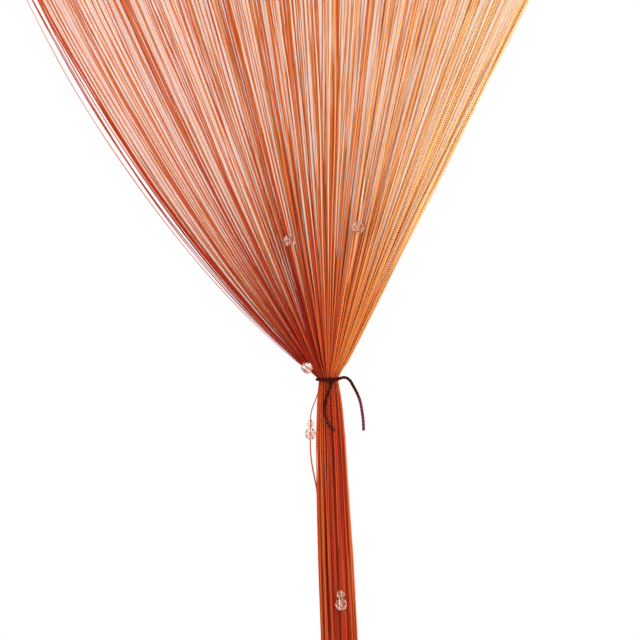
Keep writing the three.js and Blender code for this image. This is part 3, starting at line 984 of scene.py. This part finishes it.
def tapeTree():
    tree, given = newGeometryTree("knittedTape", [
        ("Height", "Float", tape["height"] * mm),
        ("Thickness", "Float", tape["thickness"] * mm),
        ("Rib Pitch", "Float", tape["ribPitch"] * mm),
        ("Rib Depth", "Float", tape["ribDepth"] * mm),
        ("Step", "Float", tape["step"] * mm),
    ])
    path = addNode(tree, "GeometryNodeMeshToCurve", Mesh=given.outputs["Geometry"])
    even = addNode(tree, "GeometryNodeResampleCurve", {"mode": "LENGTH"}, Curve=path,
                   Length=given.outputs["Step"])
    edge = addNode(tree, "GeometryNodeCurvePrimitiveQuadrilateral", Width=given.outputs["Thickness"],
                   Height=given.outputs["Height"])
    rounded = addNode(tree, "GeometryNodeFilletCurve", {"mode": "POLY"}, Curve=edge,
                      Radius=tape["edgeRound"] * mm, Count=tape["roundSteps"])
    profile = addNode(tree, "GeometryNodeResampleCurve", {"mode": "COUNT"}, Curve=rounded,
                      Count=tape["profilePoints"])
    tube = addNode(tree, "GeometryNodeCurveToMesh", Curve=even, Profile_Curve=profile, Fill_Caps=True)
    place = addNode(tree, "GeometryNodeInputPosition")
    parts = addNode(tree, "ShaderNodeSeparateXYZ", Vector=place)
    turns = addNode(tree, "ShaderNodeMath", {"operation": "DIVIDE"}, in0=parts.outputs["X"],
                    in1=given.outputs["Rib Pitch"])
    angle = addNode(tree, "ShaderNodeMath", {"operation": "MULTIPLY"}, in0=turns, in1=2 * math.pi)
    wave = addNode(tree, "ShaderNodeMath", {"operation": "COSINE"}, in0=angle)
    depth = addNode(tree, "ShaderNodeMath", {"operation": "MULTIPLY"}, in0=wave,
                    in1=given.outputs["Rib Depth"])
    face = addNode(tree, "ShaderNodeMath", {"operation": "SIGN"}, in0=parts.outputs["Y"])
    out = addNode(tree, "ShaderNodeMath", {"operation": "MULTIPLY"}, in0=depth, in1=face)
    shift = addNode(tree, "ShaderNodeCombineXYZ", Y=out)
    ribbed = addNode(tree, "GeometryNodeSetPosition", Geometry=tube, Offset=shift)
    smooth = addNode(tree, "GeometryNodeSetShadeSmooth", Geometry=ribbed)
    endTree(tree, given, smooth)
    return tree


def makeTape():
    half = tape["width"] / 2 * mm
    level = -tape["height"] / 2 * mm
    source = chainObject("headingPath", [np.array([(-half, 0, level), (half, 0, level)])], {})
    piece = bakeTree(source, tapeTree(), {"Material": knittedTapeMaterial()}, "headingTape")
    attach(piece, "root")
    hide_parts("heading_band")


makeTape()
print("heading made")

# floor, daylight all round, a soft warm light from the right and a weaker one from the left
studio = {
    "floor": -2.03,  # metres, as all lengths here
    "floorHalf": 3.0,
    "floorColour": "#f4f2f0",
    "daylight": 1.6,
    "roomLight": 1.1,
    "reflected": "#fbe9df",
    "aimAboveTie": 0.3,
    "lights": [
        {"name": "keyRight", "place": (0.75, -1.1, -0.25), "size": 1.4,
         "power": 11.0, "colour": "#ffe6c2"},
        {"name": "fillLeft", "place": (-0.9, -1.2, -0.4), "size": 0.8,
         "power": 5.0, "colour": "#ffe9ee"},
    ],
}


def makeStudio():
    world = bpy.data.worlds.new("studio")
    bpy.context.scene.world = world
    world.use_nodes = True
    tree = world.node_tree
    background = tree.nodes["Background"]
    # more daylight from behind the curtain than from the room in front; seen directly it is plain
    # white, and in gloss and glass a little warmer
    direction = addNode(tree, "ShaderNodeTexCoord")
    parts = addNode(tree, "ShaderNodeSeparateXYZ", Vector=direction.outputs["Generated"])
    level = addNode(tree, "ShaderNodeMapRange", Value=parts.outputs["Y"], From_Min=-1.0, From_Max=1.0,
                    To_Min=studio["roomLight"], To_Max=studio["daylight"])
    seen = addNode(tree, "ShaderNodeLightPath")
    through = addNode(tree, "ShaderNodeMath", {"operation": "MAXIMUM"}, in0=seen.outputs["Is Glossy Ray"],
                      in1=seen.outputs["Is Transmission Ray"])
    shown = addNode(tree, "ShaderNodeMath", {"operation": "MAXIMUM"}, in0=seen.outputs["Is Camera Ray"],
                    in1=through)
    strength = addNode(tree, "ShaderNodeMix", {"data_type": "FLOAT"}, in0=shown, in2=level, in3=1.0)
    room = addNode(tree, "ShaderNodeMix", {"data_type": "RGBA"}, in0=through, in6=(1, 1, 1, 1),
                   in7=linearColour(studio["reflected"]))
    setInputs(tree, background, Strength=strength, Color=room.outputs[2])
    mesh = bpy.data.meshes.new("floor")
    side = studio["floorHalf"]
    corners = [(-side, -side), (side, -side), (side, side), (-side, side)]
    mesh.from_pydata([(x, y, studio["floor"]) for x, y in corners], [], [(0, 1, 2, 3)])
    finish = newMaterial("paleFloor", Base_Color=linearColour(studio["floorColour"]), Roughness=0.9)
    mesh.materials.append(finish[0])
    placeObject("floor", mesh)
    for light in studio["lights"]:
        data = bpy.data.lights.new(light["name"], "AREA")
        data.size = light["size"]
        data.energy = light["power"]
        data.color = linearColour(light["colour"])[:3]
        holder = placeObject(light["name"], data)
        holder.location = light["place"]
        aim = tiePoint + Vector((0, 0, studio["aimAboveTie"])) - holder.location
        holder.rotation_euler = aim.to_track_quat("-Z", "Y").to_euler()
    bpy.context.scene.view_settings.view_transform = "Standard"


makeStudio()
print("studio made")
